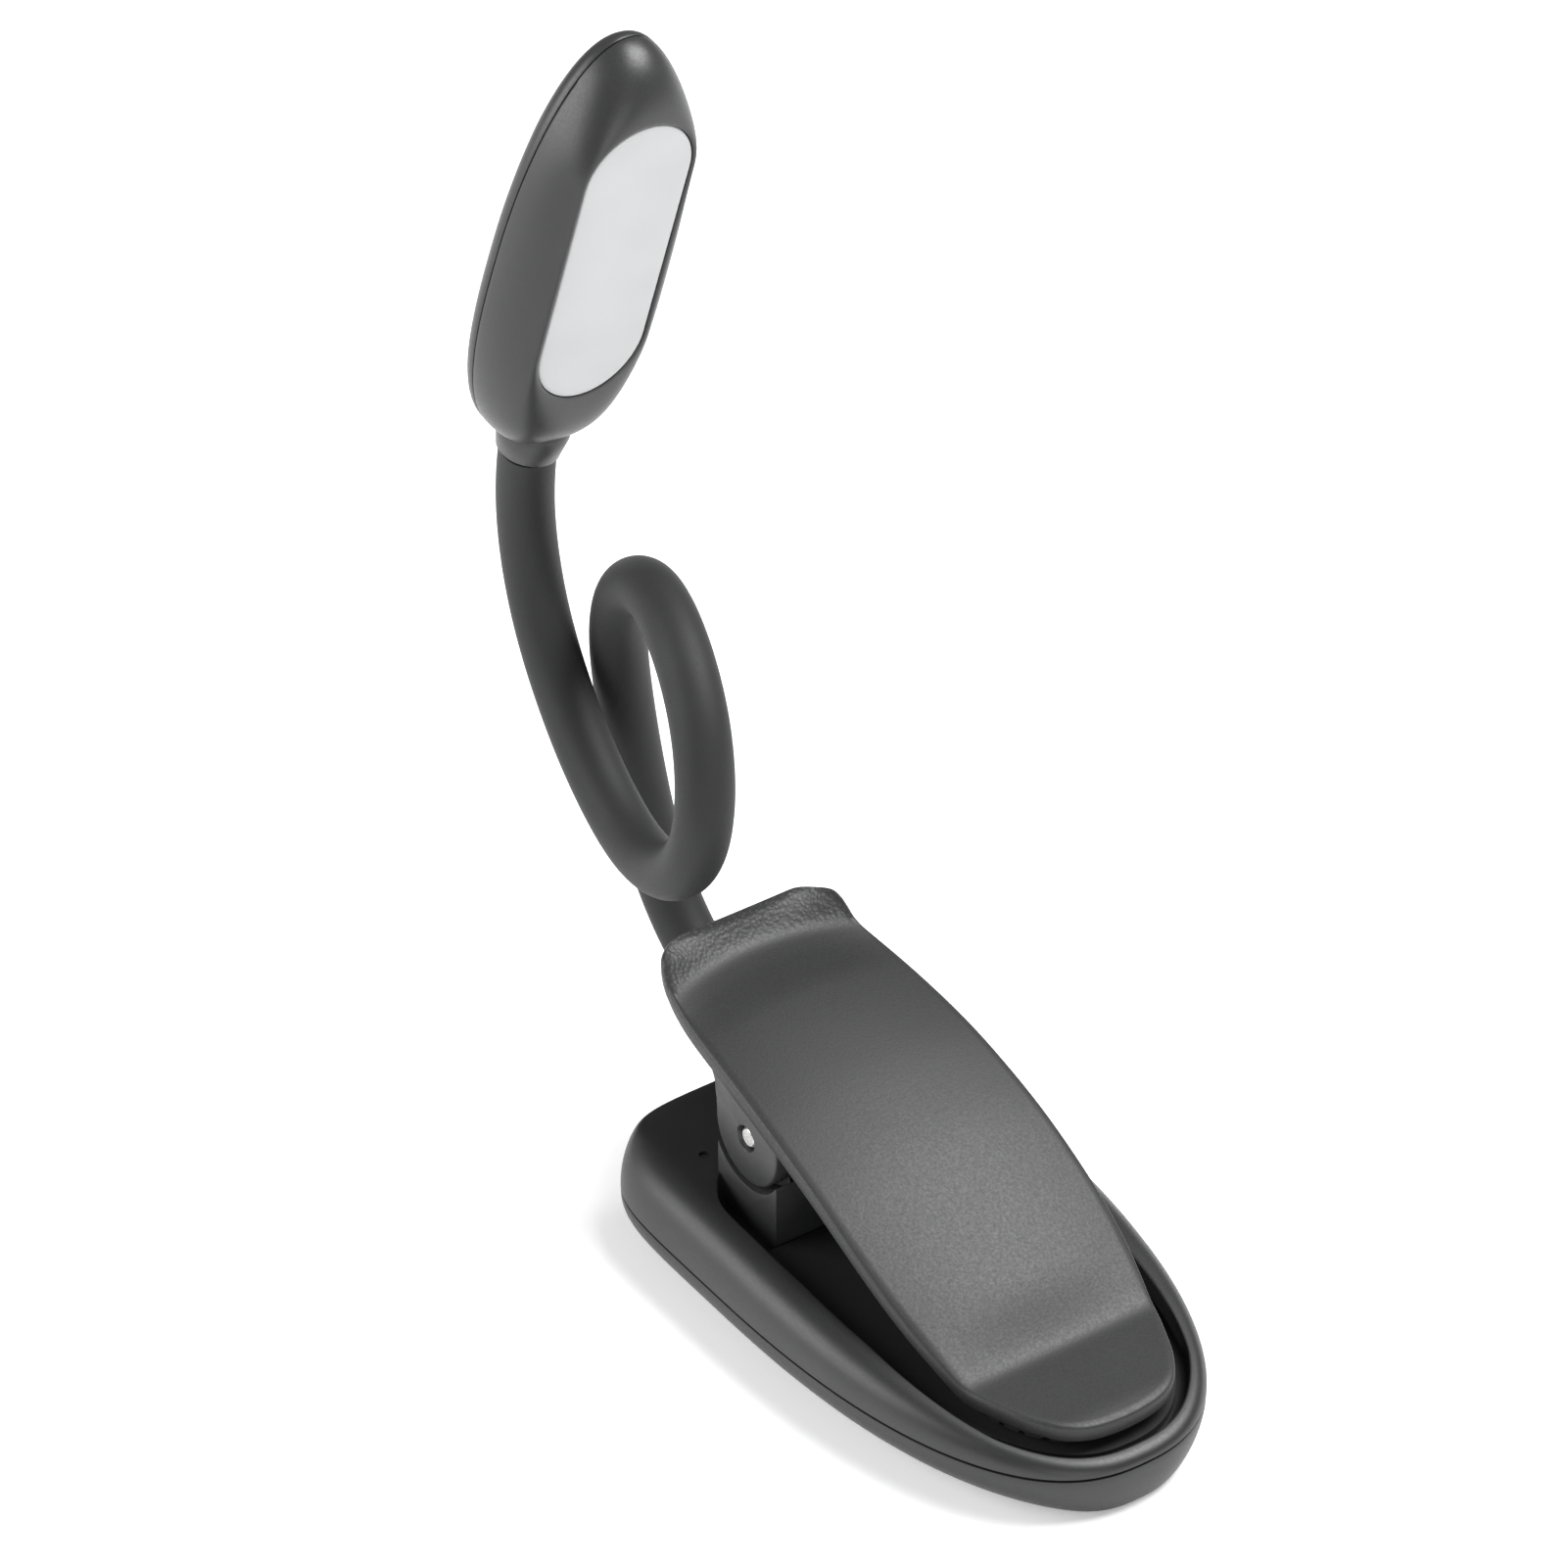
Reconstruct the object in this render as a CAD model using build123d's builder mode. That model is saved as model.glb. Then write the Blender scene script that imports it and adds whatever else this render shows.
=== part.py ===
from build123d import *
import math
import os

# Clip-on reading lamp: a sprung clip with a battery base, a flexible neck bent into one full
# loop, and an LED head. Millimetres. +X runs to the tip of the jaw, +Z up, and the origin is
# the centre of the flat underside.

os.makedirs("parts", exist_ok=True)

# ---- base ----
base_length = 91.0
base_width = 53.7
broad_x = -15.0            # where the base is widest
seam_z = 7.5               # height of the seam between the two shells
deck_z = 15.5              # height of the flat rear deck
nose_z = 10.4              # height of the rim at the nose
wall = 1.8
shell_gap = 0.1            # clearance between parts that are assembled face to face
side_sweep = 9.0           # how far the hull pulls in under the sides
end_sweep = 4.0            # and under the two ends
shoulder = 5.5             # inset of the rounded shoulder at the deck
nose_power = 2.4
rear_power = 5.5
rear_reach = base_length / 2 + broad_x
nose_reach = base_length / 2 - broad_x

# ---- jaw recess ----
recess_rear = -28.2
recess_floor_rear = 11.2
recess_floor_nose = 7.6
pad_thickness = 1.2

# ---- hinge ----
pin_x = -21.6
pin_z = 25.3
pin_radius = 1.5
pin_fit = 0.05
cheek_y = 17.0             # outer faces of the hinge block and of the lever's ears
ear_thickness = 3.0
ear_radius = 7.0
ear_pocket_radius = 8.0
block_rear = -28.2
block_front = -14.5
cheek_radius = 4.4         # round top of the block's cheeks, clear of the lever's underside
spring_wire = 1.0
spring_radius = 3.2
spring_turns = 6.375
spring_rise = 20.0         # degrees the upper leg of the spring rises towards the rear
spring_lower_leg = 6.7
spring_upper_leg = 4.7

# ---- lever ----
lever_thickness = 2.2
lever_rear = -48.8
lever_tip = 41.8
lever_half_width = 18.2

# ---- inside the base ----
boss_radius = 2.6
board_z = 8.7
board_thickness = 1.0
port_width = 9.0
port_height = 3.3
port_y = 10.5
port_z = board_z + board_thickness + port_height / 2
led_x, led_y = -32.1, -16.6
touch_x, touch_y = -37.8, -12.0

# ---- neck ----
sleeve_radius = 4.0
core_radius = 2.4
wire_bore = 1.1
socket_fit = 0.06
joint_gap = 1.35           # rim of each socket stands this far beyond the joint's centre
neck_root = (-41.5, 0.0, 16.8)
neck_heading = -61.0       # degrees from vertical, negative towards the rear
# length, turn in the plane of the loop, yaw of that plane and sideways slope of each link
neck_links = [
    (17.6, 2.0, 0.0, 0.0),
    (21.3, 41.0, 1.0, 0.02),
    (22.3, 12.0, 4.0, 0.05),
    (30.7, 72.0, 9.0, 0.085),
    (27.5, 69.0, 13.0, 0.085),
    (23.8, 82.0, 15.0, 0.085),
    (27.8, 72.0, 15.0, 0.085),
    (20.1, 30.0, 12.0, 0.06),
    (17.7, 31.0, 8.0, 0.03),
    (19.2, 28.0, 4.0, 0.03),
]

# ---- head ----
head_axis = Vector(0.185, 0.150, 0.970)
head_face = Vector(0.978, 0.020, -0.200)
head_length = 66.6
head_width = 29.6
head_front = 6.9           # face of the diffuser ahead of the neck's axis
head_back = 5.9
head_seam = -1.6
head_wall = 1.5
head_start = 3.6           # from the end of the neck to the bottom of the head's body
window_length = 44.4
window_width = 17.0
window_centre = 36.0


def finish(part, label):
    """Label a finished piece and write its STEP file."""
    part.label = label
    export_step(part, f"parts/{label}.step")


def egg_points(side, front, rear, count=44):
    """Outline of the base, pulled in by the given insets: blunt at the rear, round at the nose."""
    points = []
    for i in range(count):
        angle = 2 * math.pi * i / count
        c = math.cos(angle)
        s = math.sin(angle)
        reach = nose_reach - front if c >= 0 else rear_reach - rear
        power = nose_power if c >= 0 else rear_power
        scale = (abs(c) ** power + abs(s) ** power) ** (-1 / power)
        points.append((broad_x + reach * c * scale, (base_width / 2 - side) * s * scale))
    return points


def egg_section(z, side, front, rear):
    """Planar section of the base at height z."""
    with BuildSketch(Plane.XY.offset(z)) as section:
        with BuildLine():
            Spline(*egg_points(side, front, rear), periodic=True)
        make_face()
    return section.sketch


def hull(z_seam, height, side, end, inset, steps=5):
    """Solid between the seam and a flat face, with an elliptical flank. height may be negative."""
    sections = []
    for i in range(steps):
        angle = math.pi / 2 * i / (steps - 1)
        pull = 1 - math.cos(angle)
        sections.append(egg_section(z_seam + height * math.sin(angle),
                                    inset + side * pull, inset + end * pull, inset + end * pull))
    return loft(sections)


def floor_z(x):
    """Height of the recess floor, which slopes down towards the nose."""
    slope = (recess_floor_nose - recess_floor_rear) / (base_length / 2 - recess_rear)
    return recess_floor_rear + slope * (x - recess_rear)


side_plane = Plane.XZ.offset(-base_width)
side_depth = 2 * base_width


def slab(points):
    """Full-width prism with the given outline in the XZ plane."""
    with BuildPart(mode=Mode.PRIVATE) as prism:
        with BuildSketch(side_plane):
            Polygon(*points, align=None)
        extrude(amount=side_depth)
    return prism.part


def above_rim():
    """Everything above the flat deck and the falling rim."""
    reach = base_length / 2 + 1
    high = deck_z + 25
    with BuildPart(mode=Mode.PRIVATE) as block:
        with BuildSketch(side_plane):
            with BuildLine():
                Line((-reach, high), (-reach, deck_z))
                Line((-reach, deck_z), (recess_rear, deck_z))
                TangentArc((recess_rear, deck_z), (reach, nose_z), tangent=(1, 0))
                Line((reach, nose_z), (reach, high))
                Line((reach, high), (-reach, high))
            make_face()
        extrude(amount=side_depth)
    return block.part


# ---------------------------------------------------------------- lower shell
rear_screws = [(-33, -10.5), (-33, 10.5)]
front_screws = [(22, -9.5), (22, 9.5)]
screw_places = rear_screws + front_screws
block_screw_places = [(-21.35, -8), (-21.35, 8)]
screw_head_radius = 2.2
screw_radius = 1.0

with BuildPart() as lower_shell:
    add(hull(seam_z, -seam_z, side_sweep, end_sweep, 0.0))
    add(hull(seam_z + 0.01, -(seam_z + 0.01 - wall), side_sweep, end_sweep, wall), mode=Mode.SUBTRACT)
    with BuildSketch(Plane.XY.offset(wall / 2)):
        with Locations(*screw_places, *block_screw_places):
            Circle(3.2)
    extrude(amount=seam_z - wall / 2 - 1.5)
    with Locations(*[(x, y, 0) for x, y in screw_places + block_screw_places]):
        with Locations((0, 0, 1.3)):
            Cylinder(screw_head_radius + 0.2, 2.6, mode=Mode.SUBTRACT)
        with Locations((0, 0, 4)):
            Cylinder(screw_radius + 0.2, 8, mode=Mode.SUBTRACT)
finish(lower_shell.part, "base_lower_shell")

# ---------------------------------------------------------------- upper shell
hood_radius = 7.0
collar_radius = 5.2
collar_depth = 5.0
ferrule_depth = 7.0
boss_foot = seam_z - 1.4
front_boss_top = floor_z(22) - 0.4
neck_dir = Vector(math.sin(math.radians(neck_heading)), 0, math.cos(math.radians(neck_heading)))
neck_plane = Plane(origin=neck_root, x_dir=(0, 1, 0), z_dir=neck_dir)

far = base_length
recess_line = [(recess_rear, far), (recess_rear, floor_z(recess_rear)), (far, floor_z(far)), (far, far)]
under_floor = [(recess_rear - wall, far), (recess_rear - wall, floor_z(recess_rear) - wall),
               (far, floor_z(far) - wall), (far, far)]
rim_top = above_rim()
recess_cut = slab(recess_line)
floor_cut = slab(under_floor)

with BuildPart(mode=Mode.PRIVATE) as hood:
    with BuildSketch(neck_plane.offset(-12)):
        Circle(hood_radius)
    extrude(amount=13)
    split(bisect_by=Plane.XY.offset(seam_z + 3), keep=Keep.TOP)
    split(bisect_by=Plane.YZ.offset(-base_length / 2 + 0.6), keep=Keep.TOP)

with BuildPart(mode=Mode.PRIVATE) as shell_hollow:
    add(hull(seam_z, deck_z - wall - seam_z, shoulder, shoulder * 0.6, wall))
    add(floor_cut, mode=Mode.SUBTRACT)

with BuildPart(mode=Mode.PRIVATE) as recess:
    add(extrude(egg_section(0, 5.0, 3.2, 0), amount=deck_z + 5))
    add(recess_cut, mode=Mode.INTERSECT)
    rear_edges = recess.edges().group_by(Axis.X)[0]
    fillet(rear_edges.filter_by(lambda edge: abs(edge.tangent_at(0.5).Z) > 0.9), 2.5)

with BuildPart() as upper_shell:
    add(hull(seam_z + shell_gap, deck_z + 0.4 - seam_z - shell_gap, shoulder, shoulder * 0.6, 0.0))
    add(rim_top, mode=Mode.SUBTRACT)
    add(hood.part)
    add(shell_hollow.part, mode=Mode.SUBTRACT)
    add(recess.part, mode=Mode.SUBTRACT)
    # opening for the hinge block
    with BuildSketch(Plane.XY.offset(seam_z)):
        with Locations(((block_rear + block_front) / 2, 0)):
            Rectangle(block_front - block_rear + 0.2, 2 * cheek_y + 0.2)
    extrude(amount=10, mode=Mode.SUBTRACT)
    # neck socket, light pipe hole and charging opening
    with BuildSketch(neck_plane.offset(-collar_depth - shell_gap)):
        Circle(collar_radius + shell_gap)
    extrude(amount=11, mode=Mode.SUBTRACT)
    with BuildSketch(neck_plane.offset(-ferrule_depth - 1)):
        Circle(sleeve_radius + shell_gap)
    extrude(amount=3, mode=Mode.SUBTRACT)
    with Locations((led_x, led_y, deck_z)):
        Cylinder(0.75, 8, mode=Mode.SUBTRACT)
    with Locations((-base_length / 2, port_y, port_z)):
        Box(12, port_width + 0.4, port_height + 0.3, mode=Mode.SUBTRACT)
    # screw bosses
    for places, top in [(rear_screws, deck_z - wall + 0.3), (front_screws, front_boss_top)]:
        with BuildSketch(Plane.XY.offset(boss_foot)):
            with Locations(*places):
                Circle(boss_radius)
        extrude(amount=top - boss_foot)
        with BuildSketch(Plane.XY.offset(boss_foot)):
            with Locations(*places):
                Circle(screw_radius + 0.05)
        extrude(amount=top - boss_foot - 0.4, mode=Mode.SUBTRACT)
finish(upper_shell.part, "base_upper_shell")

# ---------------------------------------------------------------- jaw pad of the base
pad_top = [(recess_rear, floor_z(recess_rear) + pad_thickness), (far, floor_z(far) + pad_thickness),
           (far, far), (recess_rear, far)]
pad_bottom = [(-far, -far), (-far, far), (recess_rear, far), (recess_rear, floor_z(recess_rear)),
              (far, floor_z(far)), (far, -far)]
pad_top_cut = slab(pad_top)
pad_bottom_cut = slab(pad_bottom)
with BuildPart() as base_pad:
    add(extrude(egg_section(0, 5.15, 3.35, 0), amount=deck_z))
    add(pad_top_cut, mode=Mode.SUBTRACT)
    add(pad_bottom_cut, mode=Mode.SUBTRACT)
    with Locations((block_front - 20 + 0.4, 0, deck_z)):
        Box(40, base_width, 20, mode=Mode.SUBTRACT)
finish(base_pad.part, "base_jaw_pad")

# ---------------------------------------------------------------- hinge block
block_x = (block_rear + block_front) / 2
block_length = block_front - block_rear
block_foot = seam_z - 0.9
cheek_inner = 9.0
cheek_outer = cheek_y - ear_thickness - 0.3


def across(radius, half_width, x=pin_x, z=pin_z):
    """Cylinder along Y about the line through (x, z)."""
    return Pos(x, 0, z) * Rot(90, 0, 0) * Cylinder(radius, 2 * half_width)


saddle = across(ear_pocket_radius, cheek_y + 1)
pin_hole = across(pin_radius + pin_fit, cheek_y + 2)
spring_bay = Pos(block_x, 0, 40) * Box(block_length + 2, 2 * cheek_inner, 2 * (40 - 14.5))
with BuildPart() as hinge_block:
    with BuildSketch(Plane.XY.offset(block_foot)):
        with Locations((block_x, 0)):
            Rectangle(block_length, 2 * cheek_y)
    extrude(amount=pin_z - block_foot - 3.6)
    fillet(hinge_block.edges().filter_by(Axis.Y).group_by(Axis.Z)[-1], 1.2)
    add(saddle, mode=Mode.SUBTRACT)
    with BuildSketch(Plane.XZ.offset(-cheek_outer)):
        with Locations((pin_x, pin_z)):
            Circle(cheek_radius)
        Polygon((pin_x - cheek_radius, pin_z), (pin_x - 6.6, 14), (pin_x + 7.1, 14),
                (pin_x + cheek_radius, pin_z), align=None)
    extrude(amount=2 * cheek_outer)
    add(spring_bay, mode=Mode.SUBTRACT)
    add(pin_hole, mode=Mode.SUBTRACT)
    with Locations(*[(x, y, block_foot + 3) for x, y in block_screw_places]):
        Cylinder(screw_radius - 0.05, 8, mode=Mode.SUBTRACT)
finish(hinge_block.part, "hinge_block")

# ---------------------------------------------------------------- hinge pin
with BuildPart() as hinge_pin:
    with BuildSketch(Plane.XZ.offset(-(cheek_y - 0.35))):
        with Locations((pin_x, pin_z)):
            Circle(pin_radius)
    extrude(amount=2 * (cheek_y - 0.35))
    chamfer(hinge_pin.edges().filter_by(GeomType.CIRCLE), 0.25)
finish(hinge_pin.part, "hinge_pin")

# ---------------------------------------------------------------- lever
tab_bend = (-38.2, 34.4)
back_bend = (-5.0, 30.3)
tip_bend = (27.5, 13.6)
tip_end = (43.5, 13.35)
tab_end = (-50.0, 40.2)


def lever_side(drop):
    """Side profile of the lever's top face, lowered by drop and closed far below."""
    with BuildPart(mode=Mode.PRIVATE) as block:
        with BuildSketch(side_plane):
            with BuildLine():
                top = FilletPolyline((tab_end[0], tab_end[1] - drop), (tab_bend[0], tab_bend[1] - drop),
                                     (back_bend[0], back_bend[1] - drop), (tip_bend[0], tip_bend[1] - drop),
                                     (tip_end[0], tip_end[1] - drop), radius=[14, 150, 7])
                Polyline(top @ 1, (tip_end[0], -20), (tab_end[0], -20), top @ 0)
            make_face()
        extrude(amount=side_depth)
    return block.part


def lever_outline(inset=0.0):
    """Plan outline of the lever: a straight thumb edge, bowed sides and a round tip."""
    with BuildSketch() as outline:
        with BuildLine():
            Line((lever_rear + inset, 0), (lever_rear + inset, 14.6 - inset))
            Spline((lever_rear + inset, 14.6 - inset), (-30, 16.9 - inset), (-10, 18.0 - inset),
                   (3, lever_half_width - inset), (16, 17.5 - inset), (27, 15.2 - inset),
                   (36.2, 11.3 - inset), (lever_tip - 1.2 - inset, 6.4), (lever_tip - inset, 0),
                   tangents=[(1, 0.15), (0, -1)])
            mirror(about=Plane.XZ)
        make_face()
        fillet(outline.vertices().group_by(Axis.X)[0], 6.0)
    return outline.sketch


def ear(outer_y):
    """Ear of the lever; its outer or inner face stands at outer_y and it is built towards -Y."""
    with BuildPart(mode=Mode.PRIVATE) as tab:
        with BuildSketch(Plane.XZ.offset(-outer_y)):
            with Locations((pin_x, pin_z)):
                Circle(ear_radius)
            Polygon((pin_x - ear_radius, pin_z), (pin_x - ear_radius - 0.3, pin_z + 5.5),
                    (pin_x - ear_radius - 6.0, pin_z + 12), (pin_x + ear_radius + 1, pin_z + 12),
                    (pin_x + ear_radius, pin_z), align=None)
        extrude(amount=ear_thickness)
    return tab.part


lever_top = lever_side(0.0)
lever_under = lever_side(lever_thickness)
lever_plan = lever_outline()
ears = [ear(cheek_y), ear(-cheek_y + ear_thickness)]
pin_bore = across(pin_radius + pin_fit, cheek_y + 2)
pin_recess = across(pin_radius + 0.4, cheek_y + 2) - across(pin_radius + 1, cheek_y - 0.6)
plate = (extrude(lever_plan, amount=60) & lever_top) - lever_under
with BuildPart() as lever:
    for lug in ears:
        add(lug)
    add(lever_top, mode=Mode.INTERSECT)
    add(plate)
    add(pin_bore, mode=Mode.SUBTRACT)
    add(pin_recess, mode=Mode.SUBTRACT)
finish(lever.part, "lever")

# ---------------------------------------------------------------- jaw pad of the lever
pad_rear = 28.5
lever_pad_thickness = 1.2
lever_pad_z = tip_end[1] - lever_thickness - 0.1 - lever_pad_thickness
lever_pad_plan = lever_outline(1.6)
with BuildPart() as lever_pad:
    with BuildSketch(Plane.XY.offset(lever_pad_z)):
        add(lever_pad_plan)
        with Locations((pad_rear - 50, 0)):
            Rectangle(100, 60, mode=Mode.SUBTRACT)
    extrude(amount=lever_pad_thickness)
    with Locations(*[(pad_rear + 2.2 + 2.8 * i, 0, lever_pad_z) for i in range(4)]):
        Cylinder(0.5, 60, rotation=(90, 0, 0), mode=Mode.SUBTRACT)
finish(lever_pad.part, "lever_jaw_pad")

# ---------------------------------------------------------------- torsion spring
coil_pitch = spring_wire * 1.25
coil_length = coil_pitch * spring_turns
rise = math.radians(spring_rise)
coil_plane = Plane(origin=(pin_x, coil_length / 2, pin_z), x_dir=(math.sin(rise), 0, math.cos(rise)),
                   z_dir=(0, -1, 0))
coil = coil_plane * Helix(coil_pitch, coil_length, spring_radius, lefthand=True)
with BuildPart() as spring:
    with BuildSketch(Plane(origin=coil @ 0, z_dir=coil % 0)):
        Circle(spring_wire / 2)
    sweep(path=coil)
    with BuildSketch(Plane(origin=coil @ 0, z_dir=-(coil % 0))):
        Circle(spring_wire / 2)
    extrude(amount=spring_upper_leg)
    with BuildSketch(Plane(origin=coil @ 1, z_dir=coil % 1)):
        Circle(spring_wire / 2)
    extrude(amount=spring_lower_leg)
finish(spring.part, "torsion_spring")


# ---------------------------------------------------------------- neck
def neck_path():
    """Points and directions at both ends and the middle of each link."""
    place = Vector(*neck_root)
    heading = math.radians(neck_heading)
    places = [place]
    steps = 20
    for length, turn, yaw, slope in neck_links:
        plane_dir = Vector(math.cos(math.radians(yaw)), -math.sin(math.radians(yaw)), 0)
        side_dir = Vector(math.sin(math.radians(yaw)), math.cos(math.radians(yaw)), 0)
        step = length / steps / math.hypot(1, slope)
        for i in range(steps):
            angle = heading + math.radians(turn) * (i + 0.5) / steps
            move = plane_dir * math.sin(angle) + Vector(0, 0, 1) * math.cos(angle) - side_dir * slope
            place = place + move * step
            if i == steps // 2 - 1:
                places.append(place)
        heading += math.radians(turn)
        places.append(place)
    return places


neck_places = neck_path()
link_count = len(neck_links)
link_arcs = [Edge.make_three_point_arc(*neck_places[2 * i:2 * i + 3]) for i in range(link_count)]


def link_tube(arc, radius, start_trim, end_trim):
    """Round rod along a link's arc, cut short at each end by a length."""
    run = arc.trim(start_trim / arc.length, 1 - end_trim / arc.length)
    profile = Plane(origin=run @ 0, z_dir=run % 0) * Circle(radius)
    return sweep(profile, path=run)


for number, arc in enumerate(link_arcs, start=1):
    first = number == 1
    last = number == link_count
    inner_start = 0.0 if first else sleeve_radius + 0.5
    inner_end = 0.0 if last else 0.5
    skin = link_tube(arc, sleeve_radius, 0.0 if first else joint_gap, 0.0)
    bore = link_tube(arc, core_radius + 0.05, inner_start, inner_end)
    rod = link_tube(arc, core_radius, inner_start, inner_end)
    rod_bore = link_tube(arc, wire_bore, inner_start, inner_end)
    ball = Pos(*(arc @ 1)) * Sphere(sleeve_radius)
    socket = Pos(*(arc @ 0)) * Sphere(sleeve_radius + socket_fit)
    with BuildPart() as sleeve:
        add(skin)
        if not last:
            add(ball)
        if not first:
            add(socket, mode=Mode.SUBTRACT)
        add(bore, mode=Mode.SUBTRACT)
    finish(sleeve.part, f"neck_sleeve_{number:02d}")
    with BuildPart() as core:
        add(rod)
        add(rod_bore, mode=Mode.SUBTRACT)
    finish(core.part, f"neck_core_{number:02d}")

# ---------------------------------------------------------------- neck root
collar_low = neck_plane.offset(-collar_depth)
with BuildPart() as neck_collar:
    with BuildSketch(collar_low):
        Circle(collar_radius)
    with BuildSketch(neck_plane.offset(3.0)):
        Circle(collar_radius - 0.3)
    loft()
    with BuildSketch(collar_low):
        Circle(sleeve_radius + 0.05)
    extrude(amount=12, mode=Mode.SUBTRACT)
finish(neck_collar.part, "neck_collar")

with BuildPart() as neck_ferrule:
    with BuildSketch(neck_plane.offset(-ferrule_depth)):
        Circle(sleeve_radius - 0.05)
        Circle(1.4, mode=Mode.SUBTRACT)
    extrude(amount=ferrule_depth - shell_gap)
finish(neck_ferrule.part, "neck_ferrule")

# ---------------------------------------------------------------- inside the base
with BuildPart() as battery:
    with BuildSketch(Plane.XY.offset(wall + 0.4)):
        with Locations((4.0, 0)):
            RectangleRounded(28, 20, 2)
    extrude(amount=4.6)
finish(battery.part, "battery_cell")

board_plan = egg_section(board_z, wall + 1.6, wall + 1.6, wall + 1.6)
with BuildPart() as board:
    with BuildSketch(Plane.XY.offset(board_z)):
        add(board_plan)
        with Locations((-36.3, 0)):
            Rectangle(11.0, base_width, mode=Mode.INTERSECT)
        with Locations(*rear_screws):
            Circle(boss_radius + 0.4, mode=Mode.SUBTRACT)
    extrude(amount=board_thickness)
finish(board.part, "control_board")

port_plane = Plane.YZ.offset(-base_length / 2 + 1.6)
with BuildPart() as port:
    with BuildSketch(port_plane):
        with Locations((port_y, port_z)):
            RectangleRounded(port_width, port_height, 1.5)
    extrude(amount=6.5)
    with BuildSketch(port_plane):
        with Locations((port_y, port_z)):
            RectangleRounded(port_width - 0.7, port_height - 0.7, 1.2)
    extrude(amount=5.5, mode=Mode.SUBTRACT)
    with BuildSketch(port_plane.offset(0.6)):
        with Locations((port_y, port_z)):
            Rectangle(port_width - 3.0, 0.7)
    extrude(amount=5.0)
finish(port.part, "charging_port")

board_top = board_z + board_thickness
with BuildPart() as touch_pad:
    with BuildSketch(Plane.XY.offset(deck_z - wall - 0.6)):
        with Locations((touch_x, touch_y)):
            Circle(2.2)
    extrude(amount=0.5)
    with BuildSketch(Plane.XY.offset(board_top + 0.05)):
        with Locations((touch_x, touch_y)):
            Circle(0.6)
    extrude(amount=deck_z - wall - 0.6 - board_top)
finish(touch_pad.part, "touch_electrode")

with BuildPart() as light_pipe:
    with BuildSketch(Plane.XY.offset(board_top + 0.9)):
        with Locations((led_x, led_y)):
            Circle(0.7)
    extrude(amount=deck_z - 0.3 - board_top - 0.9)
finish(light_pipe.part, "indicator_light_pipe")

with BuildPart() as indicator:
    with BuildSketch(Plane.XY.offset(board_top)):
        with Locations((led_x, led_y)):
            Rectangle(1.6, 0.8)
    extrude(amount=0.8)
finish(indicator.part, "indicator_led")

low_end = (Align.CENTER, Align.CENTER, Align.MIN)
screw_z = 0.3
screw_head_height = 1.5
slot_length = 3.0
slot_width = 0.5
slot_depth = 0.6


def screw(x, y, length):
    """Pan-head screw driven up from the underside."""
    head = Pos(x, y, screw_z) * Cylinder(screw_head_radius, screw_head_height, align=low_end)
    shank = Pos(x, y, screw_z) * Cylinder(screw_radius - 0.05, length, align=low_end)
    slot = Pos(x, y, screw_z) * Box(slot_length, slot_width, 2 * slot_depth)
    cross = Pos(x, y, screw_z) * Box(slot_width, slot_length, 2 * slot_depth)
    return head + shank - slot - cross


case_screw_solids = [screw(x, y, 9.6) for x, y in rear_screws]
case_screw_solids += [screw(x, y, front_boss_top - 1.0) for x, y in front_screws]
with BuildPart() as case_screws:
    for solid in case_screw_solids:
        add(solid)
finish(case_screws.part, "case_screws")

block_screw_solids = [screw(x, y, 9.0) for x, y in block_screw_places]
with BuildPart() as block_screws:
    for solid in block_screw_solids:
        add(solid)
finish(block_screws.part, "hinge_block_screws")

# ---------------------------------------------------------------- head
head_origin = neck_places[-1]
axis = head_axis.normalized()
face = (head_face - axis * head_face.dot(axis)).normalized()
head_plane = Plane(origin=head_origin, x_dir=axis.cross(face), z_dir=face)
head_middle = head_start + head_length / 2


def head_outline(inset=0.0, count=36):
    """Long egg, fuller at the lower end, in the head's own plane."""
    points = []
    for i in range(count):
        angle = 2 * math.pi * i / count
        c = math.cos(angle)
        s = math.sin(angle)
        scale = (abs(c) ** 2.5 + abs(s) ** 2.2) ** (-1 / 2.35)
        along = (head_length / 2 - inset) * s * scale
        taper = 1 - 0.10 * along / (head_length / 2)
        points.append(((head_width / 2 - inset) * c * scale * taper, head_middle + along))
    return points


def head_body(inset, front, back, rounding):
    """Solid of the head between two faces, with rounded edges."""
    with BuildPart(mode=Mode.PRIVATE) as body:
        with BuildSketch(head_plane.offset(-back)):
            with BuildLine():
                Spline(*head_outline(inset), periodic=True)
            make_face()
        extrude(amount=front + back)
        fillet(body.edges(), rounding)
    return body.part


head_outer = head_body(0.0, head_front, head_back, 5.2)
head_inner = head_body(head_wall, head_front - head_wall, head_back - head_wall, 3.0)
behind_seam = Solid.make_box(80, 200, 40, head_plane.offset(head_seam - 40)).moved(
    Location(head_plane.x_dir * -40 + head_plane.y_dir * -60))


def window(inset, start, depth):
    """Stadium-shaped prism along the face of the head."""
    with BuildPart(mode=Mode.PRIVATE) as prism:
        with BuildSketch(head_plane.offset(start)):
            with Locations((0, window_centre)):
                SlotOverall(window_length - 2 * inset, window_width - 2 * inset, rotation=90)
        extrude(amount=depth)
    return prism.part


window_hole = window(0.0, 0, 20)
with BuildPart(mode=Mode.PRIVATE) as entry:
    with BuildSketch(Plane(origin=head_origin, z_dir=axis)):
        Circle(3.2)
    extrude(amount=12)

with BuildPart() as front_shell:
    add(head_outer)
    add(head_inner, mode=Mode.SUBTRACT)
    add(behind_seam, mode=Mode.SUBTRACT)
    add(window_hole, mode=Mode.SUBTRACT)
    add(entry.part, mode=Mode.SUBTRACT)
finish(front_shell.part, "head_front_shell")

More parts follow.
